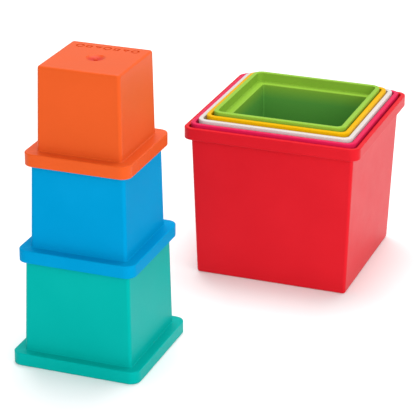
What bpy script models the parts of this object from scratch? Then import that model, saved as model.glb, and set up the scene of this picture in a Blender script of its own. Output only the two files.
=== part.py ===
"""Square stacking cups: a tower of three cups standing mouth down, and five more nested mouth up.

Metres, +Z up. The origin is on the table at the middle of the whole set's footprint.
Every cup is one moulding: a slightly tapered square body, a thick lip round the mouth with
rounded corners, and a recess inside the lip that ends in a ledge. A smaller cup's lip rests
on the ledge when the cups nest. Turned over, the recess drops over the base of the next
larger cup and the ledge rests on it, so the cups build a tower.
"""

import math

import bpy

# Driving dimensions. Cups are counted from 1, the smallest, to 8, the largest.
BASE_HALF_FIRST = 0.0199  # half width of the smallest cup's base
BASE_HALF_STEP = 0.00282
HEIGHT_FIRST = 0.0462
HEIGHT_STEP = 0.00485
TAPER_FIRST = 0.0196  # how far a wall leans out for each metre of height
TAPER_STEP = 0.002
WALL = 0.0015
FLOOR = 0.0016
LIP_OVERHANG = 0.00607  # from the base's half width to the lip's half width
LIP_HEIGHT = 0.00616
LEDGE_DEPTH = 0.00493  # from the rim down to the ledge
RECESS_PLAY = 0.001  # between the recess and the base that it drops over
REST_GAP = 0.0003  # kept between surfaces that rest on each other

BODY_CORNER = 0.0016
BODY_FILLET = 0.0012
LIP_CORNER = 0.005
LIP_FILLET = 0.0008
RECESS_CORNER = 0.0028
INSIDE_CORNER = 0.001
CORNER_SEGMENTS = 4
FILLET_SEGMENTS = 2

DIMPLE_RADIUS = 0.0046  # the round gate recess in the middle of each base
DIMPLE_DEPTH = 0.0009
DIMPLE_SIDES = 24

NEST_FROM_TOWER = (0.0523, 0.13625)  # from the tower's axis to the nest's axis
CUT_PAST = 0.004  # how far a cutter runs past the face that it opens

# Name, size number and colour (linear red, green, blue), from the tower's foot upward.
TOWER = (
    ("teal_cup", 3, (0.0, 0.46, 0.41)),
    ("blue_cup", 2, (0.0, 0.33, 0.70)),
    ("orange_cup", 1, (0.90, 0.12, 0.022)),
)
# The same for the nest, from the outside inward, with how far each cup has settled
# sideways in the play of the cup round it.
NEST = (
    ("red_cup", 8, (0.76, 0.016, 0.027), (0.0, 0.0)),
    ("pink_cup", 7, (0.83, 0.045, 0.20), (-0.00025, 0.0)),
    ("white_cup", 6, (0.80, 0.78, 0.80), (0.00025, -0.00015)),
    ("yellow_cup", 5, (0.97, 0.51, 0.007), (0.0003, 0.00005)),
    ("green_cup", 4, (0.26, 0.55, 0.03), (0.00005, 0.0001)),
)


def base_half(size):
    return BASE_HALF_FIRST + BASE_HALF_STEP * (size - 1)


def height(size):
    return HEIGHT_FIRST + HEIGHT_STEP * (size - 1)


def taper(size):
    return TAPER_FIRST + TAPER_STEP * (size - 1)


def lip_half(size):
    return base_half(size) + LIP_OVERHANG


def recess_half(size):
    return base_half(size + 1) + RECESS_PLAY


def wall_half(size, z):
    """Half width of the outside of the body at height z above the base."""
    return base_half(size) + taper(size) * z


def clear_scene():
    for obj in list(bpy.data.objects):
        bpy.data.objects.remove(obj, do_unlink=True)


def new_collection(name):
    collection = bpy.data.collections.new(name)
    bpy.context.scene.collection.children.link(collection)
    return collection


def move_to(obj, collection):
    for old in list(obj.users_collection):
        old.objects.unlink(obj)
    collection.objects.link(obj)


def make_cutter(obj):
    move_to(obj, cutters)
    obj.hide_render = True
    obj.display_type = "WIRE"


def add_bevel(obj, name, width, segments, limit):
    bevel = obj.modifiers.new(name, "BEVEL")
    bevel.width = width
    bevel.segments = segments
    bevel.limit_method = limit
    bevel.angle_limit = math.radians(50)


def add_boolean(obj, operation, other):
    boolean = obj.modifiers.new(other.name, "BOOLEAN")
    boolean.operation = operation
    boolean.solver = "EXACT"
    boolean.object = other


def square_block(name, low, high, corner, fillet):
    """A square block with rounded upright edges; low and high are each (z, half width)."""
    bpy.ops.mesh.primitive_cube_add(size=2)
    obj = bpy.context.object
    obj.name = name
    for vertex in obj.data.vertices:
        z, half = high if vertex.co.z > 0 else low
        vertex.co = (vertex.co.x * half, vertex.co.y * half, z)
    weights = obj.data.attributes.new("bevel_weight_edge", "FLOAT", "EDGE")
    for edge in obj.data.edges:
        ends = [obj.data.vertices[index].co.z for index in edge.vertices]
        weights.data[edge.index].value = float(ends[0] != ends[1])
    add_bevel(obj, "corners", corner, CORNER_SEGMENTS, "WEIGHT")
    if fillet:
        add_bevel(obj, "fillet", fillet, FILLET_SEGMENTS, "ANGLE")
    return obj


def make_lip(name, size):
    top = height(size)
    half = lip_half(size)
    return square_block(name, (top - LIP_HEIGHT, half), (top, half), LIP_CORNER, LIP_FILLET)


def make_recess(name, size):
    top = height(size)
    half = recess_half(size)
    return square_block(name, (top - LEDGE_DEPTH, half), (top + CUT_PAST, half), RECESS_CORNER, 0)


def make_inside(name, size):
    """The hollow below the ledge, one wall thickness inside the body."""
    top = height(size) - LEDGE_DEPTH + CUT_PAST
    low = (FLOOR, wall_half(size, FLOOR) - WALL)
    high = (top, wall_half(size, top) - WALL)
    return square_block(name, low, high, INSIDE_CORNER, INSIDE_CORNER / 2)


def make_dimple(name):
    bpy.ops.mesh.primitive_cylinder_add(
        vertices=DIMPLE_SIDES, radius=DIMPLE_RADIUS, depth=2 * DIMPLE_DEPTH
    )
    obj = bpy.context.object
    obj.name = name
    return obj


def plastic(name, colour):
    material = bpy.data.materials.new(name)
    material.use_nodes = True
    shader = material.node_tree.nodes["Principled BSDF"]
    shader.inputs["Base Color"].default_value = (*colour, 1.0)
    shader.inputs["Roughness"].default_value = 0.32
    shader.inputs["Metallic"].default_value = 0.0
    return material


def make_cup(name, size, colour):
    """One cup, mouth up, with its origin at the middle of its base."""
    body_top = height(size) - LIP_HEIGHT / 2
    low = (0.0, base_half(size))
    high = (body_top, wall_half(size, body_top))
    cup = square_block(name, low, high, BODY_CORNER, BODY_FILLET)
    lip = make_lip(name + "_lip", size)
    make_cutter(lip)
    add_boolean(cup, "UNION", lip)
    hollows = (
        make_recess(name + "_recess", size),
        make_inside(name + "_inside", size),
        make_dimple(name + "_dimple"),
    )
    for hollow in hollows:
        make_cutter(hollow)
        add_boolean(cup, "DIFFERENCE", hollow)
    move_to(cup, parts)
    cup.data.materials.append(plastic(name, colour))
    cup.data.shade_smooth()
    cup.data.set_sharp_from_angle(angle=math.radians(40))
    for piece in (lip, *hollows):
        piece.parent = cup
    cup.parent = whole
    return cup


def footprint_middle():
    """The middle of the whole set's footprint, measured from the tower's axis."""
    tower_half = lip_half(TOWER[0][1])
    nest_half = lip_half(NEST[0][1])
    return [(-tower_half + offset + nest_half) / 2 for offset in NEST_FROM_TOWER]


def build_tower(x, y):
    rim = 0.0
    for name, size, colour in TOWER:
        cup = make_cup(name, size, colour)
        cup.location = (x, y, rim + height(size))
        cup.rotation_euler = (math.pi, 0.0, 0.0)
        rim += height(size) - LEDGE_DEPTH + REST_GAP


def build_nest(x, y):
    rim = height(NEST[0][1])
    for name, size, colour, settled in NEST:
        cup = make_cup(name, size, colour)
        x += settled[0]
        y += settled[1]
        cup.location = (x, y, rim - height(size))
        rim += LIP_HEIGHT - LEDGE_DEPTH + REST_GAP


clear_scene()
parts = new_collection("stacking_cup_tower")
cutters = new_collection("cutters")
whole = bpy.data.objects.new("stacking_cups", None)
parts.objects.link(whole)

middle = footprint_middle()
build_tower(-middle[0], -middle[1])
build_nest(NEST_FROM_TOWER[0] - middle[0], NEST_FROM_TOWER[1] - middle[1])
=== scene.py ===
"""Looks for the square stacking cups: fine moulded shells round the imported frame, studio and camera.

Metres, +Z up, in the frame's own axes. Each cup's place and size come from its CAD box, and the
driving dimensions below repeat the part's own.
"""

import math

import bmesh
import bpy
from mathutils import Matrix, Vector


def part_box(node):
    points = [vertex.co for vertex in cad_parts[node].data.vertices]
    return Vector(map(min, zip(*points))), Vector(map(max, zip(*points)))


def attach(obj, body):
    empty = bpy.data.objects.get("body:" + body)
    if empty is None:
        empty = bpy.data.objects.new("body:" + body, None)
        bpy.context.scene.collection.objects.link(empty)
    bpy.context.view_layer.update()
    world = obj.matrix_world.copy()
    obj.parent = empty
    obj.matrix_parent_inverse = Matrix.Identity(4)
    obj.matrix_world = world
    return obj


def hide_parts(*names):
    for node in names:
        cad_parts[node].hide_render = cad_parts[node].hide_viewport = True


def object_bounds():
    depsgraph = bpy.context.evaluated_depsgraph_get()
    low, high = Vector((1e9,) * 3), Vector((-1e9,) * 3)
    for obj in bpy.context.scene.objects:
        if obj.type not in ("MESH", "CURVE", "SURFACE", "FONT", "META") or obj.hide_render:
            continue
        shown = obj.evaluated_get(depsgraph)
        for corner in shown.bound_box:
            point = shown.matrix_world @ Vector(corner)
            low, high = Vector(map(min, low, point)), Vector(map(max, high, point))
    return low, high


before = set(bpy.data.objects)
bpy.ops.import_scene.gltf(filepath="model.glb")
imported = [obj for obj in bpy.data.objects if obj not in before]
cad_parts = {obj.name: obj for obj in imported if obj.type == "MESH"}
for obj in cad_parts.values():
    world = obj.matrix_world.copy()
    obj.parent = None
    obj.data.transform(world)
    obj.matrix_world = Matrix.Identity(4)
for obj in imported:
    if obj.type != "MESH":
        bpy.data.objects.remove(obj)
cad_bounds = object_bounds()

# Cup dimensions, the same on every cup.
LIP_OVERHANG = 0.00607
LIP_HEIGHT = 0.00616
LEDGE_DEPTH = 0.00493
BASE_HALF_STEP = 0.00282
RECESS_PLAY = 0.001
WALL = 0.0015
FLOOR = 0.0016
TAPER_FIRST = 0.0196
TAPER_STEP = 0.002

# Rounding of the moulding.
BODY_CORNER = 0.0016
BODY_FILLET = 0.0012
UNDER_LIP_FILLET = 0.0005
LIP_CORNER = 0.005
LIP_FILLET = 0.0005
RIM_INNER_FILLET = 0.0004
RECESS_CORNER = 0.0028
RECESS_FILLET = 0.0004
LEDGE_FILLET = 0.0005
INSIDE_CORNER = 0.001
INSIDE_FILLET = 0.0009
WALL_BOW = 0.00012  # the flat walls of a moulding draw in a little as they cool

ARC_STEPS = 6  # segments in a fillet
CORNER_STEPS = 12  # segments in a corner of the square
SIDE_STEPS = 8  # segments along a side between two corners
WALL_RINGS = 8
DISH_STEPS = 8
LEAST_CORNER = 0.00005
FLAT = 0.000001  # a point this near a plane lies in it
CREASE = math.radians(12)  # sharper than this, an edge of a sunk mark stays crisp
SMOOTH_UP_TO = math.radians(32)
SUPPORT = 0.0003  # an extra ring this far from each fillet keeps the flats flat

# Marks of the mould on each base.
GATE_RADIUS = 0.0046
GATE_DEPTH = 0.0012
NUB_RADIUS = 0.0009
NUB_FOOT = 1.15  # the nub's radius at its foot, as a share of NUB_RADIUS
DISH_POWER = 2.5  # how flat-bottomed the gate recess is
NUB_HEIGHT = 0.0006
MARK_DEPTH = 0.0004
MARK_SIZE = 0.0041
MARK_STROKE = 0.0008
MARK_SHAPES = ((32, 0), (4, math.pi / 4), (3, math.pi / 2))  # sides and turn: a ring, a square, a triangle
MITRE = {32: 1.0, 4: math.sqrt(2), 3: 2.0}  # stroke across a side, measured out to its corner
MARK_PITCH = 0.0045
MARK_COUNT = 7
MARK_FROM_EDGE = 0.006
PIN_RADIUS = 0.0021
PIN_DEPTH = 0.00015
PIN_REACH = 0.86  # how far out the pins stand, as a share of the base's half width
PIN_STEPS = 40
PRISM_DRAFT = 0.86  # size of a prism's upper edge beside its lower one
CUT_PAST = 0.0004  # how far a cutter runs past the face that it opens

# Cup: size number counted from the smallest, mouth up or down, colour, specular level.
CUPS = {
    "teal_cup": (3, "down", (0.0, 0.375, 0.335), 0.05),
    "blue_cup": (2, "down", (0.0, 0.27, 0.545), 0.01),
    "orange_cup": (1, "down", (0.675, 0.09, 0.014), 0.3),
    "red_cup": (8, "up", (0.64, 0.0115, 0.02), 0.13),
    "pink_cup": (7, "up", (0.64, 0.013, 0.08), 0.12),
    "white_cup": (6, "up", (0.60, 0.57, 0.55), 0.3),
    "yellow_cup": (5, "up", (0.71, 0.38, 0.002), 0.06),
    "green_cup": (4, "up", (0.25, 0.46, 0.042), 0.15),
}
ROUGHNESS = 0.36
PAINTED_SHADE_IN_DISH = 0.9  # share of the painted shade at the bottom of the gate recess
PAINTED_SHADE_BELOW_LEDGE = 0.004  # the painted shade in the hollow reaches full strength this far below the ledge

# Camera and light.
CAMERA_AZIMUTH = math.radians(20.09)
CAMERA_PITCH = math.radians(22.66)
CAMERA_ROLL = math.radians(0.34)
CAMERA_DISTANCE = 0.97504
CAMERA_LENS = 172.78
CAMERA_AIM = (-0.00283, -0.0106, -0.02155)  # from the middle of the whole box
CAMERA_CLIP_END = 20.0
SENSOR_WIDTH = 36.0
FLOOR_SIZE = 6.0
FLOOR_GREY = 0.95
SKY = 0.55
LIGHT_AIM = (0, 0, 0.05)
# Name, watts, side of the square, place.
LIGHTS = (
    ("top", 14.0, 0.8, (-0.1, 0.35, 1.3)),
    ("key", 8.5, 1.0, (0.45, -1.3, 0.6)),
    ("side", 6.3, 0.9, (1.25, -0.45, 0.5)),
)


def square_ring(half, corner, z, bow=0.0):
    """Points round a square with rounded corners, anticlockwise from above."""
    corner = max(corner, LEAST_CORNER)
    straight = half - corner
    points = []
    for quarter in range(4):
        turn = Matrix.Rotation(quarter * math.pi / 2, 2)
        for step in range(CORNER_STEPS + 1):
            angle = (step / CORNER_STEPS) * math.pi / 2
            x = straight + corner * math.cos(angle)
            y = straight + corner * math.sin(angle)
            points.append(turn @ Vector((x, y)))
        near = min(SUPPORT, straight / 4)
        inner = straight - near
        for step in range(SIDE_STEPS - 1):
            along = inner - 2 * inner * step / (SIDE_STEPS - 2)
            drawn_in = bow * (1 - (along / straight) ** 2)
            points.append(turn @ Vector((along, half - drawn_in)))
    return [(point.x, point.y, z) for point in points]


def arc(centre, radius, start, end):
    """(across, up) points on an arc from start to end, in degrees from straight outward."""
    points = []
    for step in range(ARC_STEPS + 1):
        angle = math.radians(start + (end - start) * step / ARC_STEPS)
        points.append((centre[0] + radius * math.cos(angle), centre[1] + radius * math.sin(angle)))
    return points


def cup_rings(size, base, top):
    """Rings of one cup, mouth up: up the outside, over the rim and down the inside."""
    lean = TAPER_FIRST + TAPER_STEP * (size - 1)
    recess = base + BASE_HALF_STEP + RECESS_PLAY
    lip = base + LIP_OVERHANG
    under = top - LIP_HEIGHT
    ledge = top - LEDGE_DEPTH
    rings = []

    def outside(z):
        return base + lean * z

    def inside(z):
        return outside(z) - WALL

    def add(across, z, corner, bow=0.0):
        rings.append(square_ring(across, corner, z, bow))

    def add_arc(centre, radius, start, end, corner_at_centre, inward=False):
        """A fillet; the corner of the square grows or shrinks with the distance across."""
        for across, z in arc(centre, radius, start, end):
            corner = corner_at_centre + (centre[0] - across if inward else across - centre[0])
            add(across, z, corner)

    def add_wall(z_from, z_to, half_at, corner):
        for step in range(WALL_RINGS + 1):
            share = step / WALL_RINGS
            z = z_from + (z_to - z_from) * share
            add(half_at(z), z, corner, WALL_BOW * math.sin(math.pi * share))

    # Base and outer wall.
    add(base - BODY_FILLET - SUPPORT, 0.0, BODY_CORNER - BODY_FILLET)
    add_arc((base - BODY_FILLET, BODY_FILLET), BODY_FILLET, -90, 0, BODY_CORNER - BODY_FILLET)
    add_wall(BODY_FILLET + SUPPORT, under - UNDER_LIP_FILLET - SUPPORT, outside, BODY_CORNER)
    # Hollow fillet under the lip, then the lip itself.
    root = outside(under) + UNDER_LIP_FILLET
    for across, z in arc((root, under - UNDER_LIP_FILLET), UNDER_LIP_FILLET, 180, 90):
        add(across, z, BODY_CORNER + across - outside(under))
    add(root + SUPPORT, under, BODY_CORNER + UNDER_LIP_FILLET + SUPPORT)
    inner_lip = lip - LIP_FILLET
    inner_corner = LIP_CORNER - LIP_FILLET
    add(inner_lip - SUPPORT, under, inner_corner - SUPPORT)
    add_arc((inner_lip, under + LIP_FILLET), LIP_FILLET, -90, 0, inner_corner)
    add(lip, under + LIP_FILLET + SUPPORT, LIP_CORNER)
    add(lip, top - LIP_FILLET - SUPPORT, LIP_CORNER)
    add_arc((inner_lip, top - LIP_FILLET), LIP_FILLET, 0, 90, inner_corner)
    # Rim and recess.
    rim = recess + RIM_INNER_FILLET
    for across, z in arc((rim, top - RIM_INNER_FILLET), RIM_INNER_FILLET, 90, 180):
        add(across, z, RECESS_CORNER + across - recess)
    add(recess, top - RIM_INNER_FILLET - SUPPORT, RECESS_CORNER)
    add(recess, ledge + RECESS_FILLET + SUPPORT, RECESS_CORNER)
    for across, z in arc((recess - RECESS_FILLET, ledge + RECESS_FILLET), RECESS_FILLET, 0, -90):
        add(across, z, RECESS_CORNER - (recess - across))
    add(recess - RECESS_FILLET - SUPPORT, ledge, RECESS_CORNER - RECESS_FILLET - SUPPORT)
    # Ledge, inner wall and floor.
    edge = inside(ledge)
    add(edge + LEDGE_FILLET + SUPPORT, ledge, INSIDE_CORNER + LEDGE_FILLET + SUPPORT)
    for across, z in arc((edge + LEDGE_FILLET, ledge - LEDGE_FILLET), LEDGE_FILLET, 90, 180):
        add(across, z, INSIDE_CORNER + across - edge)
    add_wall(ledge - LEDGE_FILLET - SUPPORT, FLOOR + INSIDE_FILLET + SUPPORT, inside, INSIDE_CORNER)
    foot = inside(FLOOR)
    for across, z in arc((foot - INSIDE_FILLET, FLOOR + INSIDE_FILLET), INSIDE_FILLET, 0, -90):
        add(across, z, INSIDE_CORNER - (foot - across))
    add(foot - INSIDE_FILLET - SUPPORT, FLOOR, INSIDE_CORNER - INSIDE_FILLET)
    return rings


def object_from(name, mesh):
    """The bmesh as an object in the scene, its faces turned outward."""
    bmesh.ops.recalc_face_normals(mesh, faces=mesh.faces[:])
    data = bpy.data.meshes.new(name)
    mesh.to_mesh(data)
    mesh.free()
    obj = bpy.data.objects.new(name, data)
    bpy.context.scene.collection.objects.link(obj)
    return obj


def loft(name, rings):
    """A closed mesh through the rings, with a flat face over the first and the last."""
    mesh = bmesh.new()
    loops = [[mesh.verts.new(point) for point in ring] for ring in rings]
    count = len(loops[0])
    for lower, upper in zip(loops, loops[1:]):
        for i in range(count):
            j = (i + 1) % count
            mesh.faces.new((lower[i], lower[j], upper[j], upper[i]))
    mesh.faces.new(reversed(loops[0]))
    mesh.faces.new(loops[-1])
    return object_from(name, mesh)


def turned(name, profile, steps=48):
    """A closed solid turned about Z from (radius, z) points that start and end on the axis."""
    mesh = bmesh.new()
    low = mesh.verts.new((0, 0, profile[0][1]))
    high = mesh.verts.new((0, 0, profile[-1][1]))
    loops = []
    for radius, z in profile[1:-1]:
        loop = []
        for step in range(steps):
            angle = 2 * math.pi * step / steps
            loop.append(mesh.verts.new((radius * math.cos(angle), radius * math.sin(angle), z)))
        loops.append(loop)
    for i in range(steps):
        j = (i + 1) % steps
        mesh.faces.new((low, loops[0][j], loops[0][i]))
        for inner, outer in zip(loops, loops[1:]):
            mesh.faces.new((inner[i], inner[j], outer[j], outer[i]))
        mesh.faces.new((loops[-1][i], loops[-1][j], high))
    return object_from(name, mesh)


def prism(name, outline, low, high):
    """A flat outline drawn out from low to high, its upper edge a little narrower."""
    mesh = bmesh.new()
    middle = sum((Vector(point) for point in outline), Vector((0, 0))) / len(outline)
    bottom = [mesh.verts.new((point[0], point[1], low)) for point in outline]
    narrowed = [middle + (Vector(point) - middle) * PRISM_DRAFT for point in outline]
    upper = [mesh.verts.new((point.x, point.y, high)) for point in narrowed]
    for i in range(len(outline)):
        j = (i + 1) % len(outline)
        mesh.faces.new((bottom[i], bottom[j], upper[j], upper[i]))
    mesh.faces.new(reversed(bottom))
    mesh.faces.new(upper)
    return object_from(name, mesh)


def frame_prism(name, outer, inner, low, high):
    """The band between two outlines with the same number of points, drawn out from low to high."""
    mesh = bmesh.new()
    loops = []
    for outline, z in ((outer, low), (outer, high), (inner, high), (inner, low)):
        loops.append([mesh.verts.new((point[0], point[1], z)) for point in outline])
    for first, second in zip(loops, loops[1:] + loops[:1]):
        for i in range(len(outer)):
            j = (i + 1) % len(outer)
            mesh.faces.new((first[i], first[j], second[j], second[i]))
    return object_from(name, mesh)


def polygon(sides, radius, turn, centre):
    points = []
    for step in range(sides):
        angle = turn + 2 * math.pi * step / sides
        points.append((centre[0] + radius * math.cos(angle), centre[1] + radius * math.sin(angle)))
    return points


def base_cutters(name, base):
    """The round gate recess with its nub, and a row of plain shapes sunk in the base."""
    foot = NUB_RADIUS * NUB_FOOT
    profile = [
        (0, GATE_DEPTH - NUB_HEIGHT),
        (NUB_RADIUS * 0.7, GATE_DEPTH - NUB_HEIGHT),
        (NUB_RADIUS, GATE_DEPTH - NUB_HEIGHT * 0.6),
    ]
    for step in range(DISH_STEPS + 1):
        share = step / DISH_STEPS
        radius = foot + (GATE_RADIUS - foot) * share
        profile.append((radius, GATE_DEPTH * (1 - (radius / GATE_RADIUS) ** DISH_POWER)))
    profile += [(GATE_RADIUS, -CUT_PAST), (0, -CUT_PAST)]
    cutters = [turned(name + "_gate", profile)]
    for index in range(MARK_COUNT):
        x = (index - (MARK_COUNT - 1) / 2) * MARK_PITCH
        y = MARK_FROM_EDGE - base
        sides, turn = MARK_SHAPES[index % len(MARK_SHAPES)]
        middle = (x, y - (MARK_SIZE / 12 if sides == 3 else 0))
        outer = polygon(sides, MARK_SIZE / 2, turn, middle)
        inner = polygon(sides, MARK_SIZE / 2 - MARK_STROKE * MITRE[sides], turn, middle)
        cutters.append(frame_prism(f"{name}_mark_{index}", outer, inner, -CUT_PAST, MARK_DEPTH))
    return cutters


def pin_cutters(name, base):
    """Shallow rounds where the mould's pins push the cup out, inside on the floor."""
    cutters = []
    for index in range(4):
        angle = math.pi / 4 + index * math.pi / 2
        reach = base * PIN_REACH
        centre = (reach * math.cos(angle), reach * math.sin(angle))
        outline = polygon(PIN_STEPS, PIN_RADIUS, 0, centre)
        cutters.append(prism(f"{name}_pin_{index}", outline, FLOOR - PIN_DEPTH, FLOOR + CUT_PAST))
    return cutters


def cut(obj, cutters):
    """Takes the cutters out of the object for good."""
    for cutter in cutters:
        boolean = obj.modifiers.new(cutter.name, "BOOLEAN")
        boolean.operation = "DIFFERENCE"
        boolean.solver = "EXACT"
        boolean.object = cutter
    graph = bpy.context.evaluated_depsgraph_get()
    result = bpy.data.meshes.new_from_object(obj.evaluated_get(graph))
    obj.modifiers.clear()
    old = obj.data
    obj.data = result
    result.name = obj.name
    bpy.data.meshes.remove(old)
    for cutter in cutters:
        bpy.data.objects.remove(cutter, do_unlink=True)


def sharpen_flats(obj):
    """Crisp edges where a sunk mark opens in the flat base or floor, so the flat shades evenly."""
    mesh = bmesh.new()
    mesh.from_mesh(obj.data)
    for edge in mesh.edges:
        heights = [vertex.co.z for vertex in edge.verts]
        in_base = max(abs(z) for z in heights) < FLAT
        in_floor = max(abs(z - FLOOR) for z in heights) < FLAT
        if (in_base or in_floor) and edge.calc_face_angle(0.0) > CREASE:
            edge.smooth = False
    mesh.to_mesh(obj.data)
    mesh.free()


def paint_hollow_shade(obj, size, base, top):
    """Share of painted shade on each point: 1 in the hollow under the ledge, part of that in the gate
    recess, else 0.
    """
    lean = TAPER_FIRST + TAPER_STEP * (size - 1)
    ledge = top - LEDGE_DEPTH
    attribute = obj.data.attributes.new("painted_hollow_shade", "FLOAT", "POINT")
    for vertex, value in zip(obj.data.vertices, attribute.data):
        x, y, z = vertex.co
        wall = base + lean * z - WALL / 2
        inside = max(abs(x), abs(y)) < wall and z > FLOOR - 2 * PIN_DEPTH
        if inside:
            value.value = min(1.0, max(0.0, (ledge - z) / PAINTED_SHADE_BELOW_LEDGE))
        elif math.hypot(x, y) < GATE_RADIUS and 0 < z < FLOOR - 2 * PIN_DEPTH:
            value.value = PAINTED_SHADE_IN_DISH * z / GATE_DEPTH


def plastic(name, colour, specular):
    """Moulded polypropylene: nearly even colour, a fine skin, soft haze, a painted highlight on convex
    edges and painted shade in the hollow.
    """
    material = bpy.data.materials.new(name)
    material.use_nodes = True
    nodes = material.node_tree.nodes
    link = material.node_tree.links.new
    shader = nodes["Principled BSDF"]
    shader.inputs["Metallic"].default_value = 0.0
    shader.inputs["IOR"].default_value = 1.49
    shader.inputs["Specular IOR Level"].default_value = specular
    shader.inputs["Specular Tint"].default_value = (*[0.15 + 0.85 * c for c in colour], 1.0)

    place = nodes.new("ShaderNodeTexCoord")

    def noise(scale, detail, rough=0.5):
        texture = nodes.new("ShaderNodeTexNoise")
        texture.inputs["Scale"].default_value = scale
        texture.inputs["Detail"].default_value = detail
        texture.inputs["Roughness"].default_value = rough
        link(place.outputs["Object"], texture.inputs["Vector"])
        return texture.outputs["Fac"]

    def spread(value, low, high, to_low, to_high):
        ranged = nodes.new("ShaderNodeMapRange")
        ranged.inputs["From Min"].default_value = low
        ranged.inputs["From Max"].default_value = high
        ranged.inputs["To Min"].default_value = to_low
        ranged.inputs["To Max"].default_value = to_high
        link(value, ranged.inputs["Value"])
        return ranged.outputs["Result"]

    def mix(factor, first, second):
        mixer = nodes.new("ShaderNodeMix")
        mixer.data_type = "RGBA"
        link(factor, mixer.inputs["Factor"])
        for socket, value in ((mixer.inputs["A"], first), (mixer.inputs["B"], second)):
            if hasattr(value, "links"):
                link(value, socket)
            else:
                socket.default_value = (*value, 1.0)
        return mixer.outputs["Result"]

    # Slow drift of the pigment through the moulding.
    deeper = [c * 0.97 for c in colour]
    paler = [min(1.0, c * 1.015 + 0.001) for c in colour]
    pigment = mix(spread(noise(38.0, 3.0), 0.3, 0.7, 0.0, 1.0), deeper, paler)
    # Painted highlight: convex edges a little paler, as if catching the light.
    shape = nodes.new("ShaderNodeNewGeometry")
    edge = spread(shape.outputs["Pointiness"], 0.56, 0.66, 0.0, 0.3)
    edge_highlight_colour = [min(1.0, c * 1.15 + 0.02) for c in colour]
    skin = mix(edge, pigment, edge_highlight_colour)
    # Painted shade: the hollow under the ledge and the bottom of the gate recess turn to a deeper, more
    # saturated colour, standing in for the shade that falls inside them.
    strongest = max(colour)
    painted_shade_colour = [0.78 * c * (c / strongest) ** 0.9 for c in colour]
    painted_shade_colour[2] += 0.13 * colour[1]
    painted_hollow_shade = nodes.new("ShaderNodeAttribute")
    painted_hollow_shade.attribute_name = "painted_hollow_shade"
    link(mix(painted_hollow_shade.outputs["Fac"], skin, painted_shade_colour), shader.inputs["Base Color"])
    # Haze in patches, with finer handling marks over it.
    patches = spread(noise(70.0, 4.0, 0.6), 0.3, 0.7, ROUGHNESS - 0.02, ROUGHNESS + 0.03)
    marks = spread(noise(900.0, 2.0), 0.4, 0.8, 0.0, 0.02)
    total = nodes.new("ShaderNodeMath")
    total.operation = "ADD"
    link(patches, total.inputs[0])
    link(marks, total.inputs[1])
    link(total.outputs["Value"], shader.inputs["Roughness"])
    # Skin of the mould.
    bump = nodes.new("ShaderNodeBump")
    bump.inputs["Strength"].default_value = 0.04
    bump.inputs["Distance"].default_value = 0.00004
    link(noise(1100.0, 3.0, 0.6), bump.inputs["Height"])
    link(bump.outputs["Normal"], shader.inputs["Normal"])
    return material


def make_cup(node):
    size, mouth, colour, specular = CUPS[node]
    low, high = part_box(node)
    lip = (high.x - low.x) / 2
    top = high.z - low.z
    base = lip - LIP_OVERHANG
    shell = loft(node + "_shell", cup_rings(size, base, top))
    cut(shell, base_cutters(node, base) + pin_cutters(node, base))
    # Painted shade for the hollow and the gate recess, kept as a value on the points.
    paint_hollow_shade(shell, size, base, top)
    shell.data.shade_smooth()
    shell.data.set_sharp_from_angle(angle=SMOOTH_UP_TO)
    sharpen_flats(shell)
    middle = (low + high) / 2
    if mouth == "down":
        place = Matrix.Translation((middle.x, middle.y, high.z)) @ Matrix.Rotation(math.pi, 4, "X")
    else:
        place = Matrix.Translation((middle.x, middle.y, low.z))
    shell.matrix_world = place
    shell.data.materials.clear()
    shell.data.materials.append(plastic(node.replace("cup", "plastic"), colour, specular))
    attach(shell, node)
    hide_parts(node)
    return shell


def make_floor():
    bpy.ops.mesh.primitive_plane_add(size=FLOOR_SIZE, location=(0, 0, 0))
    floor = bpy.context.object
    floor.name = "studio_floor"
    material = bpy.data.materials.new("studio_floor")
    material.use_nodes = True
    shader = material.node_tree.nodes["Principled BSDF"]
    shader.inputs["Base Color"].default_value = (FLOOR_GREY, FLOOR_GREY, FLOOR_GREY, 1.0)
    shader.inputs["Roughness"].default_value = 0.8
    shader.inputs["Specular IOR Level"].default_value = 0.0
    floor.data.materials.append(material)


def area_light(name, power, size, location, target):
    data = bpy.data.lights.new(name, "AREA")
    data.shape = "SQUARE"
    data.size = size
    data.energy = power
    lamp = bpy.data.objects.new(name, data)
    lamp.location = location
    aim = Vector(target) - Vector(location)
    lamp.rotation_euler = aim.to_track_quat("-Z", "Y").to_euler()
    bpy.context.scene.collection.objects.link(lamp)


def light_studio():
    world = bpy.data.worlds.new("studio")
    bpy.context.scene.world = world
    world.use_nodes = True
    sky = world.node_tree.nodes["Background"]
    sky.inputs["Color"].default_value = (1.0, 1.0, 1.0, 1.0)
    sky.inputs["Strength"].default_value = SKY
    for name, power, size, location in LIGHTS:
        area_light(name, power, size, location, LIGHT_AIM)


def place_camera():
    low, high = (Vector(corner) for corner in cad_bounds)
    aim = (low + high) / 2 + Vector(CAMERA_AIM)
    level = math.cos(CAMERA_PITCH)
    look = Vector(
        (
            -math.sin(CAMERA_AZIMUTH) * level,
            math.cos(CAMERA_AZIMUTH) * level,
            -math.sin(CAMERA_PITCH),
        )
    )
    data = bpy.data.cameras.new("camera")
    data.lens = CAMERA_LENS
    data.sensor_width = SENSOR_WIDTH
    data.clip_end = CAMERA_CLIP_END
    camera = bpy.data.objects.new("camera", data)
    upright = look.to_track_quat("-Z", "Y").to_matrix().to_4x4()
    rolled = upright @ Matrix.Rotation(CAMERA_ROLL, 4, "Z")
    camera.matrix_world = Matrix.Translation(aim - look * CAMERA_DISTANCE) @ rolled
    bpy.context.scene.collection.objects.link(camera)
    bpy.context.scene.camera = camera


place_camera()
light_studio()
make_floor()
for cup in CUPS:
    make_cup(cup)
bpy.context.scene.view_settings.view_transform = "Standard"
